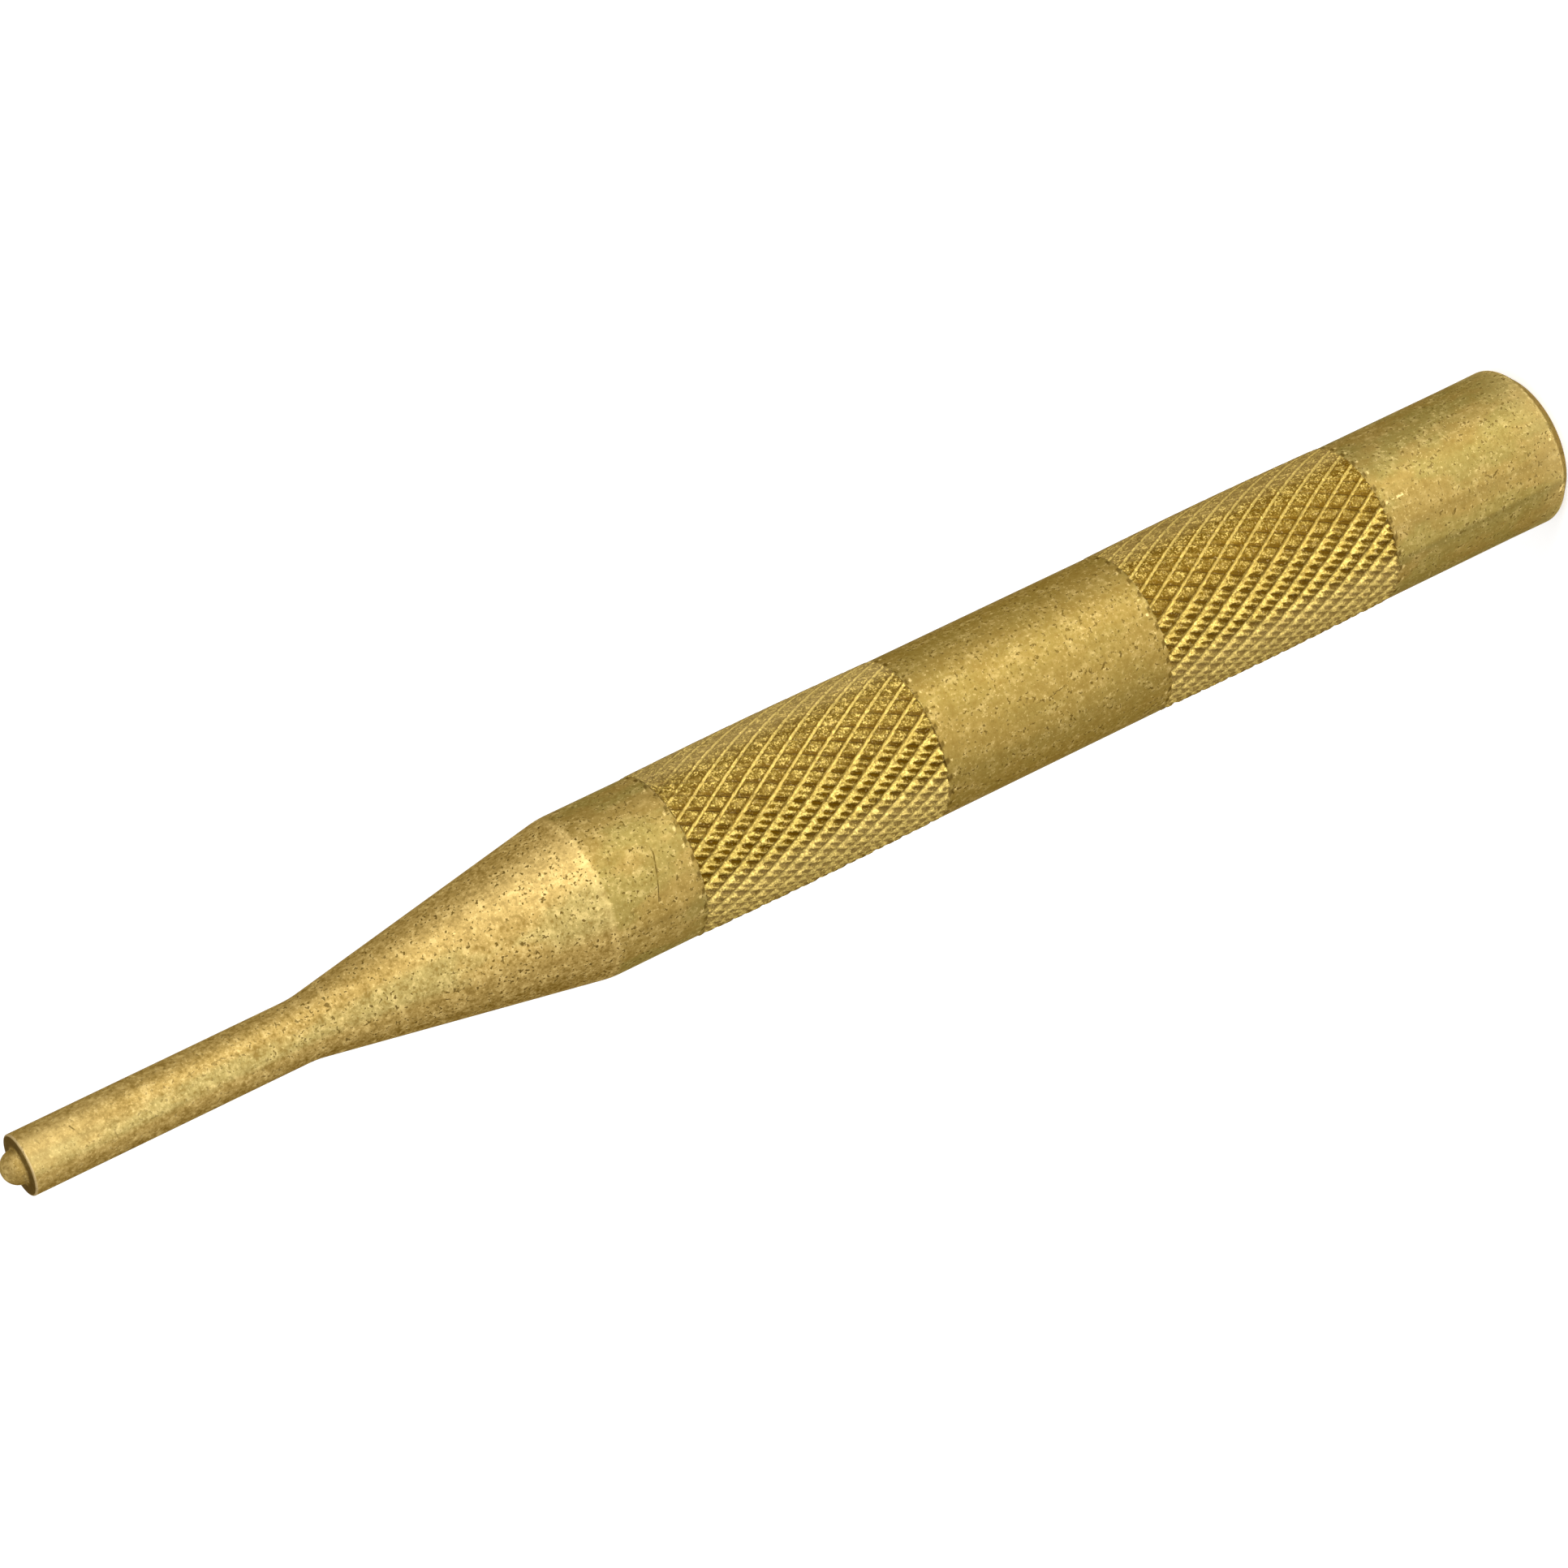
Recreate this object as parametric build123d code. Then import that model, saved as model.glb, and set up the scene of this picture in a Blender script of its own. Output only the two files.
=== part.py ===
"""Pilot punch, turned from one brass bar.

The punch stands on its struck head: the origin is the centre of the head face and +Z runs up
the axis, through the plain head, a knurled grip, a plain band, a second knurled grip, a plain
collar, the taper and the pin, to the domed pilot nose.  Every length is in millimetres.
"""
import os
from math import cos, degrees, pi, radians, sin, tan

from build123d import *

# Lengths along the axis, from the head face up
head_length = 14.3
grip_length = 17.75
band_length = 16.9
collar_length = 6.2
taper_length = 19.1
pin_length = 19.2
nose_height = 1.2

# Turned diameters
head_diameter = 10.62
band_diameter = 10.66
collar_diameter = 10.62
pin_diameter = 3.97  # 5/32 in, the size that such a punch is sold by
nose_diameter = 2.2  # across the dome where it leaves the pin's shoulder

# Edges
head_chamfer = 0.9
pin_edge_break = 0.1
nose_fillet = 0.3

# Diamond knurl: V grooves of both hands cross and leave raised diamonds
knurl_diameter = 10.9  # over the peaks of the diamonds
knurl_depth = 0.32  # from a peak down to where two grooves cross
knurl_ridges = 29  # diamonds in one row round the bar
knurl_angle = 30.0  # slant of the grooves against the axis, in degrees

# Heights of the shoulders, which all follow from the lengths
lower_grip_z = head_length
band_z = lower_grip_z + grip_length
upper_grip_z = band_z + band_length
collar_z = upper_grip_z + grip_length
taper_z = collar_z + collar_length
pin_z = taper_z + taper_length
nose_z = pin_z + pin_length

from_below = (Align.CENTER, Align.CENTER, Align.MIN)


def planar_face(*corners):
    """Flat face with these corners."""
    return Face(Wire.make_polygon(corners, close=True))


def knurled_grip():
    """Barrel of raised diamonds, cut square at both ends through a row of peaks."""
    crest = knurl_diameter / 2
    root = crest - knurl_depth
    half_turn = pi / knurl_ridges
    row_count = round(grip_length * tan(radians(knurl_angle)) / (half_turn * crest))
    row_height = grip_length / row_count

    # One diamond on the +X side, with its corners where grooves of both hands cross
    peak = Vector(crest, 0, 0)
    left = Vector(root * cos(half_turn), -root * sin(half_turn), 0)
    right = Vector(root * cos(half_turn), root * sin(half_turn), 0)
    top = Vector(root, 0, row_height)
    bottom = Vector(root, 0, -row_height)
    upper_half = [planar_face(right, top, peak), planar_face(top, left, peak)]
    lower_half = [planar_face(left, bottom, peak), planar_face(bottom, right, peak)]

    def places(row):
        """Places of the diamonds of a row, half a diamond round from the row below."""
        return [
            Pos(0, 0, row * row_height) * Rot(0, 0, degrees(half_turn * (2 * ridge + row % 2)))
            for ridge in range(knurl_ridges)
        ]

    skin = [place * flank for place in places(0) for flank in upper_half]
    for row in range(1, row_count):
        skin += [place * flank for place in places(row) for flank in upper_half + lower_half]
    skin += [place * flank for place in places(row_count) for flank in lower_half]

    # Each square end is a toothed disc, with the outline of the row that it cuts through
    for row in (0, row_count):
        teeth = [(place * Pos(tip)).position for place in places(row) for tip in (left, peak)]
        skin.append(planar_face(*teeth))
    return Solid(Shell(skin))


def plain_head():
    """Struck end: a plain cylinder with a chamfer round its face."""
    head = Cylinder(head_diameter / 2, head_length, align=from_below)
    return chamfer(head.edges().sort_by(Axis.Z)[0], head_chamfer)


def turned_point():
    """Collar, straight taper, pin and domed nose, revolved from one profile."""
    collar = collar_diameter / 2
    pin = pin_diameter / 2
    nose = nose_diameter / 2
    dome_radius = (nose**2 + nose_height**2) / (2 * nose_height)
    outline = [
        Polyline(
            (0, collar_z), (collar, collar_z), (collar, taper_z), (pin, pin_z),
            (pin, nose_z - pin_edge_break), (pin - pin_edge_break, nose_z), (nose, nose_z),
        ),
        RadiusArc((nose, nose_z), (0, nose_z + nose_height), -dome_radius),
        Line((0, nose_z + nose_height), (0, collar_z)),
    ]
    profile = make_face(outline)
    nose_root = profile.vertices().sort_by_distance((nose, nose_z))[0]
    return revolve(Plane.XZ * fillet(nose_root, nose_fillet), Axis.Z)


grip = knurled_grip()
band = Cylinder(band_diameter / 2, band_length, align=from_below)
pilot_punch = plain_head() + [
    Pos(0, 0, lower_grip_z) * grip,
    Pos(0, 0, band_z) * band,
    Pos(0, 0, upper_grip_z) * grip,
    turned_point(),
]

os.makedirs("parts", exist_ok=True)
export_step(pilot_punch, "parts/pilot_punch.step")
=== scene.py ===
"""Looks of the pilot punch: the turned and knurled brass bar, its finish, and a plain studio."""

from math import acos, atan2, cos, hypot, pi, radians, sin

import bmesh
import bpy
from bpy.props import FloatProperty, FloatVectorProperty, IntProperty, PointerProperty
from mathutils import Matrix, Vector, noise


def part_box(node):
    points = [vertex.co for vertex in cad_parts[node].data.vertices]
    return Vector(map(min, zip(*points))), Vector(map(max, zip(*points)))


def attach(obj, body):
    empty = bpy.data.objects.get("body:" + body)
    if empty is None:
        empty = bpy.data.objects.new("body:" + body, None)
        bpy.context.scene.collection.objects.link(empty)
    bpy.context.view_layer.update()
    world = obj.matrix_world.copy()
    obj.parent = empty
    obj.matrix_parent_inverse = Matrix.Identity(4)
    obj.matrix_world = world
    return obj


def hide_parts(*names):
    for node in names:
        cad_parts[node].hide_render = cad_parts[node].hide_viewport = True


bl_info = {
    "name": "Pilot Punch",
    "version": (1, 0, 0),
    "blender": (4, 5, 0),
    "location": "3D View > Sidebar > Punch",
    "description": "Builds a knurled brass pilot punch and the studio that it stands in",
    "category": "Add Mesh",
}

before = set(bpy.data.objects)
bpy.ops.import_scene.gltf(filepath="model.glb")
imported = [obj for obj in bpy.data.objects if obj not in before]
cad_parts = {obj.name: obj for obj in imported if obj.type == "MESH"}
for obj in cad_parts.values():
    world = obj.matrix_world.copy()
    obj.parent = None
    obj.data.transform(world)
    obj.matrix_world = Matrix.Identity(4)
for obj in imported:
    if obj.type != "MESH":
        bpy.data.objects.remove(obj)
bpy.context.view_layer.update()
bar_low, bar_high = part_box("pilot_punch")
shoulder_height = 0.1112  # from the head face to the pin's shoulder


def length(name, default, description):
    """A length in metres, shown in the scene's units."""
    return FloatProperty(
        name=name, description=description, default=default, min=0, precision=5,
        subtype="DISTANCE", unit="LENGTH",
    )


def share(name, default, description):
    """A number from 0 to 1."""
    return FloatProperty(
        name=name, description=description, default=default, min=0, max=1, subtype="FACTOR"
    )


def angle(name, default, description):
    """An angle in radians, shown in the scene's units."""
    return FloatProperty(
        name=name, description=description, default=default, subtype="ANGLE", unit="ROTATION"
    )


def colour(name, default, description):
    """A linear colour."""
    return FloatVectorProperty(
        name=name, description=description, default=default, size=3, min=0, max=1, subtype="COLOR"
    )


def count(name, default, description, least):
    """A whole number."""
    return IntProperty(name=name, description=description, default=default, min=least)


def watts(name, default, description):
    """Power of a lamp."""
    return FloatProperty(
        name=name, description=description, default=default, min=0, subtype="POWER", unit="POWER"
    )


def lattice_start(name, default, description):
    """A place on the knurl, in half diamonds round the bar and along it."""
    return FloatVectorProperty(name=name, description=description, default=default, size=2)


class PunchSizes(bpy.types.PropertyGroup):
    """Lengths along the axis and diameters of the turned bar."""

    head_length: length("Head length", 0.0143, "From the struck face to the first grip")
    grip_length: length("Grip length", 0.01775, "Each of the two knurled grips")
    band_length: length("Band length", 0.0169, "Plain band between the grips")
    collar_length: length("Collar length", 0.0062, "Plain collar in front of the grips")
    taper_length: length("Taper length", 0.0191, "From the collar down to the pin")
    pin_length: length("Pin length", 0.0192, "Straight pin, up to its shoulder")
    nose_height: length("Nose height", bar_high[2] - shoulder_height, "Dome above the shoulder")

    head_diameter: length("Head diameter", 0.01062, "Plain head")
    band_diameter: length("Band diameter", 0.01066, "Plain band")
    collar_diameter: length("Collar diameter", 0.01062, "Plain collar")
    pin_diameter: length("Pin diameter", 0.00397, "Straight pin")
    nose_diameter: length("Nose diameter", 0.0022, "Dome at its foot")
    knurl_diameter: length("Knurl diameter", bar_high[0] - bar_low[0], "Over the diamonds")

    head_chamfer: length("Head chamfer", 0.0009, "Chamfer round the struck face")


class KnurlPattern(bpy.types.PropertyGroup):
    """The diamond knurl."""

    ridges: count("Ridges", 29, "Diamonds in a row round the bar", 8)
    rows: count("Rows", 17, "Half diamonds along one grip", 2)
    fineness: count("Fineness", 6, "Mesh steps across half a diamond", 2)
    light_groove: length("Light groove", 0.00030, "Width where the roller pressed lightly")
    heavy_groove: length("Heavy groove", 0.00058, "Width where the roller pressed hard")
    second_track: share("Second track", 0.6, "Width of the extra grooves on the heavy side")
    heavy_side: angle("Heavy side", radians(-150), "Direction that the roller pressed hard from")
    skipped_side: angle("Skipped side", radians(-35), "Where the falling grooves are faint")
    lower_start: lattice_start("Lower start", (-3 / 6, -2 / 6), "Where the lower grip starts")
    upper_start: lattice_start("Upper start", (0, -1 / 6), "Where the upper grip starts")


class BrassFinish(bpy.types.PropertyGroup):
    """Colours and gloss of the bare brass."""

    blasted: colour("Blasted", (0.347, 0.232, 0.065), "Pin and taper")
    # Greenish patches down one side of the pin and taper, partly a painted reflection of darker
    # surroundings
    green_patches_and_reflection: colour("Bleached", (0.317, 0.244, 0.077), "Greenish streak of the pin and taper")
    drawn: colour("Drawn", (0.309, 0.207, 0.053), "Collar, band and head")
    band: colour("Band", (0.251, 0.165, 0.035), "Plain band between the grips")
    patina: colour("Patina", (0.277, 0.204, 0.052), "Greenish patches of the drawn metal")
    rolled: colour("Rolled", (0.227, 0.150, 0.022), "Flat tops of the knurl")
    burnished: colour("Burnished", (0.344, 0.245, 0.053), "Grooves that the roller polished")
    # Fine grooves, partly a painted highlight of their lit walls
    crisp: colour("Crisp", (0.459, 0.326, 0.073), "Fine grooves, where the roller pressed lightly")
    # Dark grooves, and also the colour of painted shade on the knurl
    hollow_and_shade: colour("Hollow", (0.107, 0.052, 0.002), "Dark grooves that cross them")
    # Tarnish, also used for painted shade on the bar
    tarnish_and_shade: colour("Tarnish", (0.175, 0.100, 0.015), "Brown film over the metal")
    pit: colour("Pit", (0.094, 0.053, 0.008), "Dirt in the small pits")
    # Bright scuffs and worn edges, and the colour of painted highlights
    scuff_and_highlight: colour("Scuff", (0.802, 0.610, 0.242), "Bright scuffs and rubbed edges")
    # Painted glints and highlights of the knurl
    glint: colour("Glint", (0.785, 0.576, 0.159), "Bright flecks of the knurl")
    # Painted highlight along the pin's rounded edge
    rim_highlight: colour("Rim", (0.50, 0.375, 0.190), "Bare edge of the pin's shoulder")
    # Painted shade on the sides of the pin's shoulder
    shoulder_shade: colour("Grime", (0.058, 0.045, 0.034), "Grey-brown dirt on the pin's shoulder")
    blasted_roughness: share("Blasted roughness", 0.62, "Pin and taper")
    drawn_roughness: share("Drawn roughness", 0.58, "Collar, band and head")
    mottle: share("Mottle", 0.5, "Depth of the blotches and grain")


class StudioSetup(bpy.types.PropertyGroup):
    """Lights, floor and camera."""

    key_power: watts("Key light", 0.38, "Watts of the lamp on the right")
    front_power: watts("Front light", 0.66, "Watts of the lamp in front")
    side_power: watts("Side light", 0.06, "Watts of the lamp on the left")
    back_power: watts("Back light", 0.12, "Watts of the lamp behind")
    beam: angle("Beam", radians(38), "Spread of the key light, which looks at the punch's foot")
    sky: FloatProperty(
        name="Sky", description="Brightness of the room around the punch", default=0.7, min=0
    )
    floor: colour("Floor", (0.8, 0.8, 0.8), "Pale floor")
    gap: length("Gap", 0.00002, "Floor below the head face, so that the two do not flicker")
    lens: FloatProperty(
        name="Lens", description="Focal length", default=149.068, min=1, unit="CAMERA"
    )


# Where the roller marked the bar: the cosine of the angle from its side, at no mark and at full
PRESSED = (0.3, 0.65)
WORN = (0.85, 0.99)
SKIPPED = (0.77, 0.97)


class Levels:
    """Heights of the bar's shoulders above the head face, with this many units to the metre."""

    def __init__(self, sizes, units=1):
        self.chamfer_top = sizes.head_chamfer * units
        self.head_top = sizes.head_length * units
        self.lower_grip_top = self.head_top + sizes.grip_length * units
        self.band_top = self.lower_grip_top + sizes.band_length * units
        self.upper_grip_top = self.band_top + sizes.grip_length * units
        self.collar_top = self.upper_grip_top + sizes.collar_length * units
        self.taper_top = self.collar_top + sizes.taper_length * units
        self.pin_top = self.taper_top + sizes.pin_length * units
        self.grips = (self.head_top, self.lower_grip_top), (self.band_top, self.upper_grip_top)


# Shaping the bar


def draw_to(shape, end, radius, height):
    """Carry a profile on from its end to a new corner, and return that corner."""
    corner = bmesh.ops.extrude_vert_indiv(shape, verts=[end])["verts"][0]
    corner.co = Vector((radius, 0, height))
    return corner


def round_corner(shape, corner, size, steps):
    """Round a corner of a profile off over size on both sides."""
    bmesh.ops.bevel(
        shape, geom=[corner], offset=size, offset_type="OFFSET", affect="VERTICES",
        segments=steps, profile=0.5, material=-1,
    )


def draw_profile(shape, sizes, knurl):
    """Half outline of the bar in the XZ plane, from the middle of the head to the tip."""
    at = Levels(sizes)
    head, band, collar = sizes.head_diameter / 2, sizes.band_diameter / 2, sizes.collar_diameter / 2
    pin, nose, crest = sizes.pin_diameter / 2, sizes.nose_diameter / 2, sizes.knurl_diameter / 2
    step = 0.00004  # the plain metal stops this far short of a grip
    flare, flare_top = 0.00003, 0.004  # hammering has spread the head's end by this much

    middle = bmesh.ops.create_vert(shape, co=(0, 0, 0))["vert"][0]
    face_rim = draw_to(shape, middle, head + flare - at.chamfer_top, 0)
    chamfer_rim = draw_to(shape, face_rim, head + flare, at.chamfer_top)
    point = draw_to(shape, chamfer_rim, head, flare_top)
    point = draw_to(shape, point, head, at.head_top - step)
    grip_edges = []
    for (bottom, top), next_radius in zip(at.grips, (band, collar)):
        start = draw_to(shape, point, crest, bottom)
        point = draw_to(shape, start, crest, top)
        grip_edges.append(start.link_edges[-1])
        point = draw_to(shape, point, next_radius, top + step)
        if top == at.lower_grip_top:
            point = draw_to(shape, point, band, at.band_top - step)
    taper_foot = draw_to(shape, point, collar, at.collar_top)
    pin_foot = draw_to(shape, taper_foot, pin, at.taper_top)
    pin_rim = draw_to(shape, pin_foot, pin, at.pin_top)
    nose_root = draw_to(shape, pin_rim, nose, at.pin_top)

    # The dome is a vertex swung up from its foot to the axis
    dome_radius = (nose**2 + sizes.nose_height**2) / (2 * sizes.nose_height)
    dome_centre = at.pin_top + sizes.nose_height - dome_radius
    swing = acos((at.pin_top - dome_centre) / dome_radius)
    bmesh.ops.spin(
        shape, geom=[nose_root], cent=(0, 0, dome_centre), axis=(0, -1, 0), angle=swing,
        steps=12, use_merge=False,
    )

    for corner, size, steps in (
        (face_rim, 0.00016, 3), (chamfer_rim, 0.00018, 3), (taper_foot, 0.00045, 3),
        (pin_foot, 0.0005, 3), (pin_rim, 0.00009, 3), (nose_root, 0.00034, 5),
    ):
        round_corner(shape, corner, size, steps)
    bmesh.ops.subdivide_edges(shape, edges=grip_edges, cuts=knurl.rows * knurl.fineness - 1)


def smooth_step(value, low, high):
    """0 below low, 1 above high, and smooth in between."""
    rise = min(1, max(0, (value - low) / (high - low)))
    return rise * rise * (3 - 2 * rise)


def groove_pitch(sizes, knurl):
    """Distance from one groove to the next of the same hand."""
    across = pi / knurl.ridges * sizes.knurl_diameter / 2
    along = sizes.grip_length / knurl.rows
    return 2 * across * along / hypot(across, along)


def knurl_grip(shape, bottom, top, start, sizes, knurl):
    """Press the crossed grooves into one grip, which swells in its middle."""
    crest, plain = sizes.knurl_diameter / 2, sizes.band_diameter / 2
    half_turn = pi / knurl.ridges
    row = (top - bottom) / knurl.rows
    pitch = groove_pitch(sizes, knurl)
    end_swell = 0.25  # share of the swell that a grip has at its ends
    wobble, wobbles = 0.25, 400  # share of a groove's width, and how many to the metre
    verts = {v for v in shape.verts
             if bottom - 1e-7 < v.co.z < top + 1e-7 and abs(v.co.xy.length - crest) < 1e-6}

    def place(co):
        """Half diamonds round the bar and along it."""
        return atan2(co.y, co.x) / half_turn + start[0], (co.z - bottom) / row + start[1]

    # Each small square is split along the groove that crosses its part of the lattice
    for face in [face for face in shape.faces if all(v in verts for v in face.verts)]:
        x, y = place(face.calc_center_median())
        slant = 1 if (x // 1 + y // 1) % 2 else -1
        corners = sorted(face.verts, key=lambda v: place(v.co)[0] + slant * place(v.co)[1])
        bmesh.utils.face_split(face, corners[0], corners[-1])

    def depth(from_groove, width):
        """Depth of a square V groove at this many half pitches from its bottom."""
        return max(0, width / 2 - from_groove * pitch / 2)

    for v in verts:
        x, y = place(v.co)
        turn = atan2(v.co.y, v.co.x)
        pressed = smooth_step(cos(turn - knurl.heavy_side), *PRESSED)
        worn = smooth_step(cos(turn - knurl.heavy_side), *WORN)
        skipped = smooth_step(cos(turn - knurl.skipped_side), *SKIPPED)
        width = knurl.light_groove + (knurl.heavy_groove - knurl.light_groove) * pressed
        width *= 1 + wobble * noise.noise(v.co * wobbles)
        rising, falling = abs((x + y) % 2 - 1), abs((x - y) % 2 - 1)
        cross_width = width * (1 - 0.28 * pressed) * (1 - 0.6 * skipped)
        cut = max(
            depth(rising, width * (1 - 0.4 * skipped)), depth(falling, cross_width),
            depth(1 - falling, cross_width * (0.5 + 0.5 * pressed) * knurl.second_track),
        )
        swell = end_swell + (1 - end_swell) * sin(pi * (v.co.z - bottom) / (top - bottom))
        v.co.xy *= (plain + (crest - plain) * swell - cut * (1 - 0.4 * worn)) / crest


def mark_sharp_edges(shape, limit):
    """Shade smooth, but for the edges that turn by more than the limit."""
    for face in shape.faces:
        face.smooth = True
    for edge in shape.edges:
        edge.smooth = edge.calc_face_angle(0) < limit


def new_piece(name, shape, material):
    """Object at the origin that holds the shape."""
    mesh = bpy.data.meshes.new(name)
    shape.to_mesh(mesh)
    shape.free()
    mesh.materials.append(material)
    piece = bpy.data.objects.new(name, mesh)
    bpy.context.scene.collection.objects.link(piece)
    return piece


# Shading


class Signal:
    """A value in a shader; arithmetic on it adds Math nodes."""

    def __init__(self, tree, socket):
        self.tree = tree
        self.socket = socket

    def node(self, kind, settings=(), values=(), output=0):
        """Add a node: its settings first, then the numbers or links of its sockets."""
        node = self.tree.nodes.new(kind)
        for setting, value in dict(settings).items():
            if setting == "stops":
                ramp = node.color_ramp.elements
                while len(ramp) < len(value):
                    ramp.new(1)
                for stop, (position, shade) in zip(ramp, value):
                    stop.position, stop.color = position, rgba(shade)
            else:
                setattr(node, setting, value)
        for socket, value in dict(values).items():
            if isinstance(value, Signal):
                self.tree.links.new(value.socket, node.inputs[socket])
            else:
                node.inputs[socket].default_value = value
        return Signal(self.tree, None if output is None else node.outputs[output])

    def maths(self, operation, *values):
        """A Math node on these values."""
        return self.node("ShaderNodeMath", {"operation": operation}, enumerate(values))

    def __add__(self, other): return self.maths("ADD", self, other)
    def __radd__(self, other): return self.maths("ADD", other, self)
    def __sub__(self, other): return self.maths("SUBTRACT", self, other)
    def __rsub__(self, other): return self.maths("SUBTRACT", other, self)
    def __mul__(self, other): return self.maths("MULTIPLY", self, other)
    def __rmul__(self, other): return self.maths("MULTIPLY", other, self)
    def __truediv__(self, other): return self.maths("DIVIDE", self, other)
    def __rtruediv__(self, other): return self.maths("DIVIDE", other, self)
    def __abs__(self): return self.maths("ABSOLUTE", self)

    def between(self, low, high):
        """0 below low, 1 above high, and smooth in between."""
        return self.node(
            "ShaderNodeMapRange", {"interpolation_type": "SMOOTHSTEP"},
            {"Value": self, "From Min": low, "From Max": high},
        )

    def inside(self, low, high, blur):
        """1 between low and high, fading over blur at both ends."""
        return self.between(low - blur, low + blur) * (1 - self.between(high - blur, high + blur))

    def or_more(self, other):
        """The greater of two values."""
        return self.maths("MAXIMUM", self, other)

    def wrapped(self):
        """A lattice coordinate, brought between -1 and 1; a groove's bottom is at 0."""
        return self.maths("WRAP", self, 2, 0) - 1

    def vector(self, operation, *values, output=0):
        """A Vector Math node on these values."""
        settings = {"operation": operation}
        return self.node("ShaderNodeVectorMath", settings, enumerate(values), output)

    def scaled(self, *factors):
        """A vector with each axis multiplied by its factor."""
        return self.vector("MULTIPLY", self, factors)

    def part(self, axis):
        """One axis of a vector."""
        return self.node("ShaderNodeSeparateXYZ", {}, {0: self}, output=axis)

    def speckle(self, scale, detail, roughness):
        """Noise at this many features a unit, centred on 0.5."""
        values = {"Vector": self, "Scale": scale, "Detail": detail, "Roughness": roughness}
        return self.node("ShaderNodeTexNoise", {}, values)

    def mixed(self, first, second, amount, blend="MIX"):
        """Two colours, mixed by an amount."""
        mix = {"data_type": "RGBA", "clamp_factor": True, "blend_type": blend}
        first, second = (c if isinstance(c, Signal) else rgba(c) for c in (first, second))
        return self.node("ShaderNodeMix", mix, {0: amount, 6: first, 7: second}, output=2)

    def blended(self, shade, amount):
        """This colour, mixed with another by an amount."""
        return self.mixed(self, shade, amount)

    def line(self, first, last, width):
        """1 along a straight line on this flat map, fading out across its width."""
        first, last = Vector((*first, 0)), Vector((*last, 0))
        run = last - first
        offset = self.vector("SUBTRACT", self, first)
        along = offset.vector("DOT_PRODUCT", offset, run / run.length_squared, output="Value")
        along = along.maths("MINIMUM", along.or_more(0), 1)
        scale = {"operation": "SCALE"}
        nearest = self.node("ShaderNodeVectorMath", scale, {0: run, "Scale": along})
        away = offset.vector("SUBTRACT", offset, nearest)
        return 1 - away.vector("LENGTH", away, output="Value").between(width * 0.2, width)


def new_shader(name):
    """Material with an empty tree, and a signal to start from."""
    material = bpy.data.materials.new(name)
    material.use_nodes = True
    material.node_tree.nodes.clear()
    return material, Signal(material.node_tree, None)


def rgba(shade):
    """A colour with full alpha."""
    return (*shade, 1)


MM = 1000  # the shader measures the bar in millimetres
DEGREE = pi / 180

# Dull and light bands round the drawn bar, partly streaks from drawing and partly painted shade and
# highlight: angle in degrees, and the tone there
DRAWN_STREAKS_AND_SHADE = (
    (-180, 0.92), (-163, 0.89), (-148, 1.00), (-137, 0.95), (-130, 0.79), (-127, 1.10),
    (-116, 1.05), (-107, 0.85), (-103, 0.96), (-76, 0.98), (-60, 0.80), (-8, 0.82), (0, 0.90),
    (38, 0.95), (41, 0.83), (84, 0.87), (87, 0.96), (128, 0.95), (132, 0.85), (170, 0.84),
    (180, 0.92),
)

# Marks: height in mm and angle in degrees of both ends, width in mm
MARK_RADIUS = 5.31
SCRATCHES = (
    ((69.04, -85.2), (69.87, -116.0), 0.07),
    ((71.78, -75.8), (71.90, -80.0), 0.10),
    ((5.60, -100.0), (6.10, -103.5), 0.09),
    ((9.40, -112.0), (9.65, -114.5), 0.12),
    ((39.50, -104.0), (40.90, -107.0), 0.06),
    ((107.98, -64.6), (107.69, -86.7), 0.08),
)
NICKS = (
    ((1.12, -94.0), (1.30, -97.5), 0.12),
    ((1.05, -132.5), (1.25, -136.0), 0.14),
    ((12.60, -86.0), (13.40, -87.0), 0.10),
)


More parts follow.
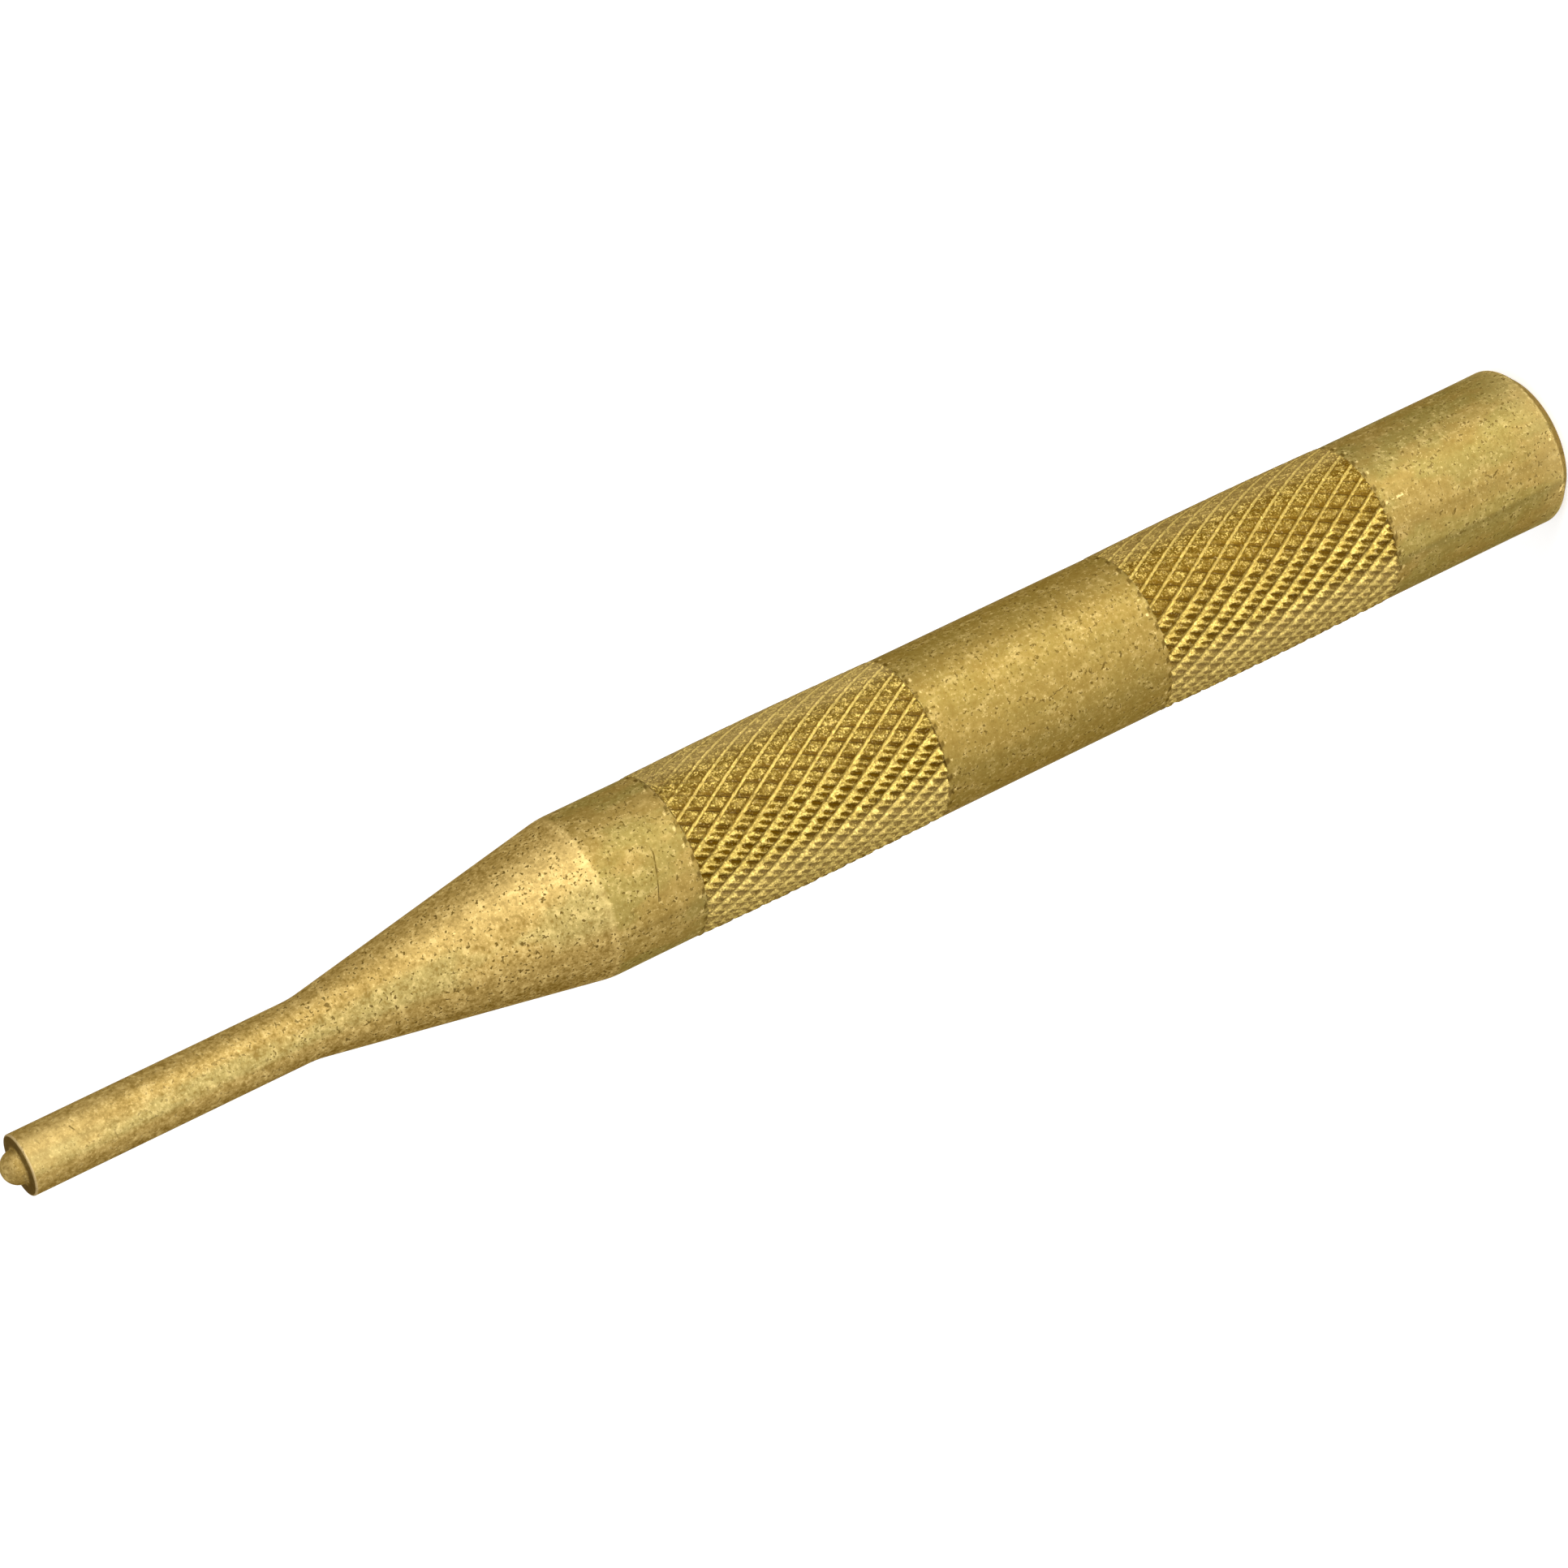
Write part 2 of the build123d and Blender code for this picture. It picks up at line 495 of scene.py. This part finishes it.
class BarMap:
    """Where a point lies on the bar, in mm and degrees, and the texture of the metal there."""

    def __init__(self, start, sizes):
        at = self.at = Levels(sizes, MM)
        self.start = start
        place = start.node("ShaderNodeTexCoord", output="Object").scaled(MM, MM, MM)
        height, east, north = place.part("Z"), place.part("X"), place.part("Y")
        self.height = height
        self.radius = place.maths("SQRT", east * east + north * north)
        self.turn = place.maths("ARCTAN2", north, east) * (1 / DEGREE)

        # Zones: 1 on the zone and 0 off it
        self.beyond_head = height.between(at.head_top - 0.1, at.head_top)
        self.on_upper = height.between(at.lower_grip_top, at.band_top)
        self.beyond_grips = height.between(at.upper_grip_top, at.collar_top)
        self.blasted = height.between(at.collar_top - 0.15, at.collar_top + 0.25)
        self.nose = height.between(at.pin_top - 0.04, at.pin_top + 0.04)
        lower, upper = (height.inside(*grip, 0.03) for grip in at.grips)
        self.knurled = lower + upper

        # Patterns, in features a millimetre
        self.sand = place.speckle(8.5, 2, 0.6)
        self.grain = place.speckle(4.2, 2, 0.6)
        self.lumps = place.speckle(2.3, 3, 0.6)
        self.blotch = place.speckle(1.3, 3, 0.6)
        self.patch = place.scaled(1, 1, 0.5).speckle(0.42, 3, 0.55)
        self.fleck = self.sand * 0.6 + self.lumps * 0.4
        pitted = (0.395 - place.speckle(4.9, 1, 0.5)).between(0, 0.05)
        self.pits = pitted * self.blotch.between(0.40, 0.56)
        specks = (place.speckle(6.9, 1, 0.5) - 0.60).between(0, 0.06)
        self.specks = specks * self.grain.between(0.46, 0.60)
        rings = place.scaled(0.03, 0.03, 1).speckle(3.2, 3, 0.6)
        streaks = place.scaled(1, 1, 0.05).speckle(3.0, 3, 0.6)
        facing = start.node("ShaderNodeCombineXYZ", {}, {"X": self.radius}).speckle(5.0, 2, 0.6)

        # Depth of each pattern in the mottling, which is dark below 0 and light above it
        plain = 1 - self.knurled
        tone = (
            (self.sand - 0.5) * (0.5 + self.beyond_head * 0.5 + self.blasted * 0.5)
            + (self.grain - 0.5) * (2.2 + self.beyond_head * 1.1 + self.blasted * 1.2)
            + (self.blotch - 0.5) * 4.5
            + (rings - 0.5) * 0.8 * plain
            + (streaks - 0.5) * 1.6 * (1 - self.blasted) * plain
            + (facing - 0.5) * 2.5 * (1 - height.between(0, 0.02))
        )
        self.dark = (0 - tone).between(-0.1, 1.4)
        self.light = tone.between(-0.1, 1.4)

    def along_grips(self, first, last):
        """Rings on the plain metal beside each end of the grips, from first to last mm away."""
        below, above = (-last, -first), (first, last)
        rings = [
            self.height.inside(end + low, end + high, 0.05)
            for grip in self.at.grips for end, (low, high) in zip(grip, (below, above))
        ]
        return sum(rings[1:], rings[0])

    def marks(self, lines):
        """Straight marks on the skin of the bar, with slightly ragged edges."""
        round_bar = self.turn * (DEGREE * MARK_RADIUS) + (self.grain - 0.5) * 0.4
        skin = self.start.node("ShaderNodeCombineXYZ", {}, {"X": round_bar, "Y": self.height})
        marks = [
            skin.line(
                (radians(low_turn) * MARK_RADIUS, low), (radians(high_turn) * MARK_RADIUS, high),
                width,
            )
            for (low, low_turn), (high, high_turn), width in lines
        ]
        return sum(marks[1:], marks[0])


def plain_metal(bar, finish):
    """Drawn metal of the head, band and collar, and blasted metal of the taper and pin, with
    painted highlights and painted shade in their colour.
    """
    at, height, turn, start = bar.at, bar.height, bar.turn, bar.start
    # The bands carry drawing streaks and painted shade and highlight round the head, band and
    # collar
    stops = [((side + 180) / 360, (tone,) * 3) for side, tone in DRAWN_STREAKS_AND_SHADE]
    streaks_and_shade = start.node("ShaderNodeValToRGB", {"stops": stops}, {0: turn / 360 + 0.5})
    streaked_and_shaded = 1 - height.between(at.band_top - 0.1, at.band_top) * 0.6
    drawn = start.mixed(finish.drawn, finish.patina, bar.patch.between(0.42, 0.60))
    drawn = start.mixed(drawn, streaks_and_shade, streaked_and_shaded, "MULTIPLY")
    drawn = drawn.blended(finish.band, height.inside(at.lower_grip_top, at.band_top, 0.3) * 0.7)

    # Greenish patches from -120 to -84 degrees, partly a painted reflection
    green_patches_and_reflection = bar.patch.between(0.36, 0.56) * turn.inside(-120, -84, 8) * (0.8 - bar.nose * 0.8)
    blasted = start.mixed(finish.blasted, finish.green_patches_and_reflection, green_patches_and_reflection)
    brass = start.mixed(drawn, blasted, bar.blasted)

    near_tip = height.between(at.pin_top - 8, at.pin_top - 1) * (1 - bar.nose)
    taper_foot = bar.blasted * (1 - height.between(at.collar_top + 2, at.collar_top + 17))
    # Painted highlights near the pin's tip, at the taper's foot and on the dome, painted light that
    # lifts the floor's shade off the head's foot, and a lighter ring just above the collar
    brightened = (
        near_tip * turn.inside(-108, -46, 14) * 0.2
        + (1 - height.between(0.5, 4)) * 0.15
        + taper_foot * turn.inside(-82, -45, 12) * 0.17
        + bar.nose * (1 - bar.radius.between(0.4, 1.05)) * 0.22
        + height.inside(at.collar_top, at.collar_top + 0.55, 0.2) * 0.10
    )
    mottle = finish.mottle * (0.85 + bar.beyond_grips * 0.35 + bar.blasted * 0.2)
    mottle = mottle * (1 - height.between(at.pin_top - 6, at.pin_top) * 0.2)
    # Dark mottling, and painted shade along the pin and taper from -186 to -150 degrees
    dark_mottle_and_shade = bar.dark * mottle + bar.blasted * turn.inside(-186, -150, 14) * 0.35
    brass = brass.blended(finish.tarnish_and_shade, dark_mottle_and_shade)
    return brass.blended(finish.scuff_and_highlight, bar.light * mottle * 0.5 + brightened * (1 - bar.knurled))


class KnurlMap:
    """Where a point lies among the crossed grooves, in half pitches from their bottoms."""

    def __init__(self, bar, sizes, knurl):
        at, height, turn, on_upper = bar.at, bar.height, bar.turn, bar.on_upper
        (lower_x, lower_y), (upper_x, upper_y) = knurl.lower_start, knurl.upper_start
        row = sizes.grip_length * MM / knurl.rows
        shift = upper_y - lower_y - (at.band_top - at.head_top) / row
        x = turn * (knurl.ridges / 180) + lower_x + on_upper * (upper_x - lower_x)
        y = height / row + (lower_y - at.head_top / row) + on_upper * shift
        self.rising, self.falling = (x + y).wrapped(), (x - y).wrapped()
        self.from_rising, self.from_falling = abs(self.rising), abs(self.falling)

        def facing(side, limits):
            """1 on the side of the bar that faces this way."""
            return turn.maths("COSINE", turn * DEGREE - side).between(*limits)

        self.pressed = facing(knurl.heavy_side, PRESSED)
        self.worn = facing(knurl.heavy_side, WORN)
        self.skipped = facing(knurl.skipped_side, SKIPPED)
        self.faint = self.skipped.between(0.4, 1.0)

        # The burnished track of the rising grooves, which the falling ones notch; its brightness is
        # partly painted highlight of the lit groove wall
        pitch = groove_pitch(sizes, knurl)
        wider = (knurl.heavy_groove - knurl.light_groove) / pitch
        self.groove = knurl.light_groove / pitch + self.pressed * wider
        notches = turn.maths("COSINE", self.falling * (2 * pi)) * self.pressed * 0.36
        from_middle = abs(self.rising + self.pressed * 0.08 - 0.03) / self.groove
        edge = (0.36 + self.pressed * 0.3, 0.80 + self.pressed * 0.28)
        self.polished_and_lit = 1 - (from_middle + notches + (bar.grain - 0.5) * 1.1).between(*edge)


def cross_hollows(bar, lattice):
    """Dark ragged dashes in the falling grooves, doubled on the heavy side."""
    pressed, from_rising = lattice.pressed, lattice.from_rising
    ragged = (bar.lumps - 0.5) * 0.9
    edge = (0.62 - pressed * 0.44, 1.36 - pressed * 0.64)
    main = 1 - (lattice.from_falling / lattice.groove + ragged).between(*edge)
    main = main * (1 - lattice.faint * from_rising.between(0.3, 0.6) * 0.7)
    beyond_line = lattice.rising.maths("WRAP", lattice.rising - 0.2, 2, 0)
    main = main * (1 - beyond_line.between(0.3, 1.4) * (1 - pressed) * 0.25)
    from_second = (1 - lattice.from_falling) / lattice.groove
    second = (1 - (from_second + ragged).between(0.1, 0.6)) * pressed
    return main.or_more(second * 0.9) * (1 - lattice.worn * 0.35)


def rolled_metal(bar, lattice, finish):
    """Rolled metal: dull lumpy lands, burnished rising grooves and dark falling ones, with painted
    highlights, glints and shade.
    """
    at, start, fleck, on_upper = bar.at, bar.start, bar.fleck, bar.on_upper
    pressed, skipped, worn, faint = lattice.pressed, lattice.skipped, lattice.worn, lattice.faint
    rising, from_rising, from_falling = lattice.rising, lattice.from_rising, lattice.from_falling
    on_lower = 1 - on_upper

    # Lands, from their own flecks to what lies between the grooves, with painted glints, highlights
    # and shade
    dull = (0.53 - fleck).between(0.0, 0.09) * (0.92 - pressed * 0.16) + on_lower * 0.10
    # Painted glints on the lands
    bright = (fleck - 0.53).between(0.0, 0.10 - skipped * 0.03) * (0.74 - skipped * 0.04)
    # Middle of each land: painted highlight there, but painted shade on the skipped side
    plateau = from_rising.between(0.35, 0.8) * from_falling.between(0.35, 0.8) * (1 - pressed)
    plateau_highlight = plateau * bar.blotch.between(0.36, 0.60) * (1 - skipped)
    # Painted highlights: thin lines beside the second track on the heavy side, and pale rungs in
    # the falling grooves on the skipped side
    ridge_highlight = ((1 - from_falling) / lattice.groove).inside(0.6, 0.85, 0.1) * pressed
    rung_highlight = (1 - from_falling.between(0.1, 0.5)) * from_rising.between(0.2, 0.45) * faint
    land = start.mixed(finish.rolled, finish.hollow_and_shade, dull)
    land = land.blended(finish.glint, plateau_highlight * 0.14)
    land = land.blended(finish.hollow_and_shade, plateau * faint * 0.30)
    land = land.blended(finish.glint, bright)
    land = land.blended(finish.glint, ridge_highlight * 0.5)
    land = land.blended(finish.hollow_and_shade, cross_hollows(bar, lattice))
    land = land.blended(finish.glint, rung_highlight * 0.10)

    # Rising grooves: fine and crisp on the lightly pressed side, broad and lumpy on the heavy one,
    # burnished and with painted highlight along them
    # Painted highlight along the fine grooves, brighter on the skipped side
    crisp = start.mixed(finish.crisp, finish.glint, skipped * 0.25)
    # Burnished strands with painted glints
    lumpy = start.mixed(finish.burnished, finish.glint, (fleck - 0.51).between(0, 0.1) * 0.62)
    lumpy = lumpy.blended(finish.hollow_and_shade, (0.49 - fleck).between(0, 0.08) * 0.5)
    fading = skipped * bar.height.between(at.upper_grip_top - 3.4, at.upper_grip_top - 0.6)
    track = lattice.polished_and_lit * (1 - fading * 0.9)
    land = land.blended(start.mixed(crisp, lumpy, pressed), track)
    # Painted shade on the unlit wall beside each rising groove
    shade_behind = rising.inside(0.22 + pressed * 0.12, 0.45 + pressed * 0.17, 0.06)
    land = land.blended(finish.hollow_and_shade, shade_behind * (0.65 - pressed * 0.25))

    land = land.blended(finish.tarnish_and_shade, on_lower * (0.30 - pressed * 0.12 - skipped * 0.15))
    # Painted light on the grips from -40 to 0 degrees
    edge_light = bar.turn.inside(-40, 0, 10) * (0.14 + on_upper * 0.06)
    brightened = worn * 0.15 + edge_light + on_upper * (1 - pressed) * 0.022
    return land.blended(finish.scuff_and_highlight, brightened)


def worn_metal(brass, bar, lattice, scratches, finish):
    """The brass with its soiling, worn edges, nicks, pits and scratches, painted shade in corners
    and on the pin's shoulder, and painted highlights on the pin's edge and near the grips.
    """
    at, height, radius, nose = bar.at, bar.height, bar.radius, bar.nose
    shoulder = nose * radius.between(1.12, 1.45) * (1 - radius.between(1.88, 1.96))
    # The sides of the pin's shoulder, where painted shade goes
    ends = 1 - bar.turn.inside(-116, -64, 14)
    chamfer = 1 - height.between(at.chamfer_top - 0.1, at.chamfer_top)
    # Darker rings beside the grips, patchy, partly soiling and partly painted shade, as they fade
    # on the skipped side
    steps = bar.along_grips(0, 0.16) * bar.dark * (1 - lattice.skipped * 0.9)
    dirt_and_shade = (steps * 0.7).or_more(chamfer * 0.3)
    dirt_and_shade = dirt_and_shade.or_more(nose * 0.10 + shoulder * (0.35 + ends * 0.35))
    brass = brass.blended(finish.tarnish_and_shade, dirt_and_shade)

    brightened = height.inside(at.chamfer_top - 0.02, at.chamfer_top + 0.14, 0.06)
    brightened = brightened * bar.grain.between(0.35, 0.6)
    nicks = bar.marks(NICKS) * bar.grain.between(0.35, 0.5)
    # Painted highlights of small bead-like bumps where the rising grooves run out beside the grips
    bead_highlights = (1 - abs(lattice.rising + 0.2).between(0.1, 0.35)) * bar.along_grips(0.34, 0.52)
    bead_highlights = bead_highlights * bar.grain.between(0.44, 0.54)
    brass = brass.blended(finish.scuff_and_highlight, brightened * 0.45 + nicks * 0.8 + bead_highlights * 0.5)
    brass = brass.blended(finish.scuff_and_highlight, bar.specks * 0.25)

    # A darker ring round the dome's root, in the pit colour
    root = nose * radius.between(1.0, 1.5) * (1 - radius.between(1.84, 1.92))
    # Painted highlight along the pin's rounded edge
    rim_highlight = height.inside(at.pin_top - 0.12, at.pin_top + 0.05, 0.03) * radius.between(1.86, 1.93)
    # Painted shade on the sides of the pin's shoulder
    brass = brass.blended(finish.shoulder_shade, shoulder * ends * 0.85)
    brass = brass.blended(finish.pit, root * 0.85)
    brass = brass.blended(finish.rim_highlight, rim_highlight * 0.65)

    pitted = 0.7 + bar.beyond_head * 0.1 + bar.beyond_grips * 0.1 - bar.knurled * 0.3
    pitted = pitted * (1 - height.between(at.collar_top + 12, at.pin_top - 4) * 0.6)
    tips = (1 - lattice.from_rising.between(0.2, 0.5)) * bar.along_grips(0.05, 0.28)
    tips = tips * bar.grain.between(0.34, 0.44)
    brass = brass.blended(finish.pit, bar.pits * pitted)
    return brass.blended(finish.pit, scratches * 0.8 + tips * 0.8)


def brass_material(sizes, knurl, finish):
    """Bare brass: blasted on the pin and taper, drawn on the rest, rolled on the grips; its colour
    also carries painted light and shade.
    """
    material, start = new_shader("bare_brass")
    bar = BarMap(start, sizes)
    lattice = KnurlMap(bar, sizes, knurl)
    scratches = bar.marks(SCRATCHES) * bar.blotch.between(0.36, 0.52)
    brass = plain_metal(bar, finish).blended(rolled_metal(bar, lattice, finish), bar.knurled)
    brass = worn_metal(brass, bar, lattice, scratches, finish)

    at = bar.at
    taper = bar.height.inside(at.collar_top, at.taper_top, 1)
    collar = bar.height.inside(at.upper_grip_top, at.collar_top, 0.1)
    rougher = finish.blasted_roughness - finish.drawn_roughness
    roughness = (
        finish.drawn_roughness + bar.blasted * rougher + taper * 0.04 + collar * 0.05
        + bar.knurled * (0.06 - lattice.polished_and_lit * 0.14) + (bar.grain - 0.5) * 0.3
        + bar.dark * 0.05
    )
    relief = (
        bar.grain * 0.4 + bar.blotch * 0.4 + bar.sand * 0.2 + bar.fleck * bar.knurled * 4
        - bar.pits * 0.4 - scratches * 0.5
    )
    bump_values = {"Strength": 0.7, "Distance": 0.00003, "Height": relief}
    bump = start.node("ShaderNodeBump", {}, bump_values)
    surface = start.node(
        "ShaderNodeBsdfPrincipled", {},
        {"Base Color": brass, "Metallic": 1.0, "Roughness": roughness, "Normal": bump,
         "Specular Tint": (0.36, 0.33, 0.32, 1)},
    )
    start.node("ShaderNodeOutputMaterial", {}, {"Surface": surface}, output=None)
    return material


def seen_directly(start):
    """1 for camera, mirror and glass rays, and 0 for the light that falls on things."""
    camera, mirror, glass = (
        start.node("ShaderNodeLightPath", output=ray)
        for ray in ("Is Camera Ray", "Is Glossy Ray", "Is Transmission Ray")
    )
    return camera.or_more(mirror).or_more(glass)


def floor_material(studio):
    """Pale floor that takes a shadow but looks as white as the room, and is clear from below."""
    material, start = new_shader("pale_floor")
    glow_strength = 0.46  # with the light that falls on the floor, this comes to white
    matt = start.node("ShaderNodeBsdfDiffuse", {}, {"Color": rgba(studio.floor)})
    glow = start.node(
        "ShaderNodeEmission", {},
        {"Color": (1, 1, 1, 1), "Strength": seen_directly(start) * glow_strength},
    )
    top = start.node("ShaderNodeAddShader", {}, {0: matt, 1: glow})
    below = start.node("ShaderNodeNewGeometry", output="Backfacing")
    clear = start.node("ShaderNodeBsdfTransparent")
    floor = start.node("ShaderNodeMixShader", {}, {0: below, 1: top, 2: clear})
    start.node("ShaderNodeOutputMaterial", {}, {"Surface": floor}, output=None)
    return material


# Studio


def add_floor(studio):
    """Wide floor just below the head face."""
    shape = bmesh.new()
    bmesh.ops.create_grid(shape, x_segments=1, y_segments=1, size=2.5)
    bmesh.ops.translate(shape, verts=shape.verts, vec=(0, 0, -studio.gap))
    new_piece("floor", shape, floor_material(studio))


def add_room(scene, studio):
    """White room, seen at full strength and lighting the punch more softly."""
    world = bpy.data.worlds.new("room")
    scene.world = world
    world.use_nodes = True
    start = Signal(world.node_tree, None)
    background = world.node_tree.nodes["Background"]
    background.inputs["Color"].default_value = (1, 1, 1, 1)
    strength = studio.sky + seen_directly(start) * (1 - studio.sky)
    world.node_tree.links.new(strength.socket, background.inputs["Strength"])


LAMP_DISTANCE = 0.62
LAMP_HEIGHT = 0.075
LAMP_DEPTH = 0.12
LAMP_TINT = (0.94, 1.0, 1.14)
LAMP_TARGET = Vector((0, 0, -0.04))


def add_lamp(scene, name, side, width, power, beam):
    """Wide soft lamp, close to the floor, that looks at the foot of the punch."""
    light = bpy.data.lights.new(name, "AREA")
    light.shape, light.size, light.size_y = "RECTANGLE", width, LAMP_DEPTH
    light.energy, light.spread = power, beam
    light.color = LAMP_TINT
    lamp = bpy.data.objects.new(name, light)
    place = Vector((LAMP_DISTANCE * sin(side), -LAMP_DISTANCE * cos(side), LAMP_HEIGHT))
    turn = (LAMP_TARGET - place).to_track_quat("-Z", "Y").to_matrix().to_4x4()
    lamp.matrix_world = Matrix.Translation(place) @ turn
    scene.collection.objects.link(lamp)


CAMERA_PLACE = (0, -0.36869330, 0.21036150)
CAMERA_RIGHT = Vector((-0.43387073, -0.34476731, -0.83240116))
CAMERA_UP = Vector((0.90097317, -0.16795136, -0.4000496))


def add_camera(scene, studio):
    """Camera at the photo's place, with the punch lying across the picture."""
    view = bpy.data.cameras.new("photo")
    view.lens = studio.lens
    camera = bpy.data.objects.new("photo", view)
    back = CAMERA_RIGHT.cross(CAMERA_UP)
    turn = Matrix((CAMERA_RIGHT, CAMERA_UP, back)).transposed().to_4x4()
    camera.matrix_world = Matrix.Translation(CAMERA_PLACE) @ turn
    scene.collection.objects.link(camera)
    scene.camera = camera


# Operators


class PUNCH_OT_bar(bpy.types.Operator):
    """Turn and knurl the brass bar"""

    bl_idname = "punch.bar"
    bl_label = "Turned Bar"

    def execute(self, context):
        scene = context.scene
        sizes, knurl, finish = scene.punch_sizes, scene.punch_knurl, scene.punch_finish
        shape = bmesh.new()
        draw_profile(shape, sizes, knurl)
        bmesh.ops.spin(
            shape, geom=shape.verts[:] + shape.edges[:], cent=(0, 0, 0), axis=(0, 0, 1),
            angle=2 * pi, steps=2 * knurl.ridges * knurl.fineness, use_merge=True,
        )
        bmesh.ops.remove_doubles(shape, verts=shape.verts, dist=1e-7)
        bmesh.ops.recalc_face_normals(shape, faces=shape.faces)
        starts = (knurl.lower_start, knurl.upper_start)
        for (bottom, top), start in zip(Levels(sizes).grips, starts):
            knurl_grip(shape, bottom, top, start, sizes, knurl)
        mark_sharp_edges(shape, radians(40))
        piece = new_piece("turned_bar", shape, brass_material(sizes, knurl, finish))
        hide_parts("pilot_punch")
        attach(piece, "root")
        return {"FINISHED"}


class PUNCH_OT_studio(bpy.types.Operator):
    """Set up the floor, the room, the lamps and the camera"""

    bl_idname = "punch.studio"
    bl_label = "Studio"

    def execute(self, context):
        scene, studio = context.scene, context.scene.punch_studio
        add_floor(studio)
        add_room(scene, studio)
        wide = radians(90)
        for name, side, width, power, beam in (
            ("key", radians(34), 0.26, studio.key_power, studio.beam),
            ("front", radians(-23), 0.34, studio.front_power, wide),
            ("side", radians(-86), 0.30, studio.side_power, wide),
            ("back", radians(176), 0.34, studio.back_power, wide),
        ):
            add_lamp(scene, name, side, width, power, beam)
        add_camera(scene, studio)
        scene.view_settings.view_transform = "Standard"
        return {"FINISHED"}


class VIEW3D_PT_punch(bpy.types.Panel):
    """Sizes, finish and studio of the punch"""

    bl_label = "Pilot Punch"
    bl_space_type = "VIEW_3D"
    bl_region_type = "UI"
    bl_category = "Punch"

    def draw(self, context):
        for title, group, operator in (
            ("Bar", "punch_sizes", None), ("Knurl", "punch_knurl", None),
            ("Finish", "punch_finish", PUNCH_OT_bar), ("Studio", "punch_studio", PUNCH_OT_studio),
        ):
            box = self.layout.box()
            box.label(text=title)
            values = getattr(context.scene, group)
            for name in values.__annotations__:
                box.prop(values, name)
            if operator:
                box.operator(operator.bl_idname)


groups = {
    "punch_sizes": PunchSizes, "punch_knurl": KnurlPattern, "punch_finish": BrassFinish,
    "punch_studio": StudioSetup,
}
classes = (*groups.values(), PUNCH_OT_bar, PUNCH_OT_studio, VIEW3D_PT_punch)


def register():
    """Register the classes and hang the groups on the scene."""
    for cls in classes:
        bpy.utils.register_class(cls)
    for name, group in groups.items():
        setattr(bpy.types.Scene, name, PointerProperty(type=group))


def unregister():
    """Undo register."""
    for name in groups:
        delattr(bpy.types.Scene, name)
    for cls in reversed(classes):
        bpy.utils.unregister_class(cls)


def main():
    """Build the punch and its studio."""
    register()
    bpy.ops.punch.bar()
    bpy.ops.punch.studio()
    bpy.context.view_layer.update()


if __name__ == "__main__":
    main()
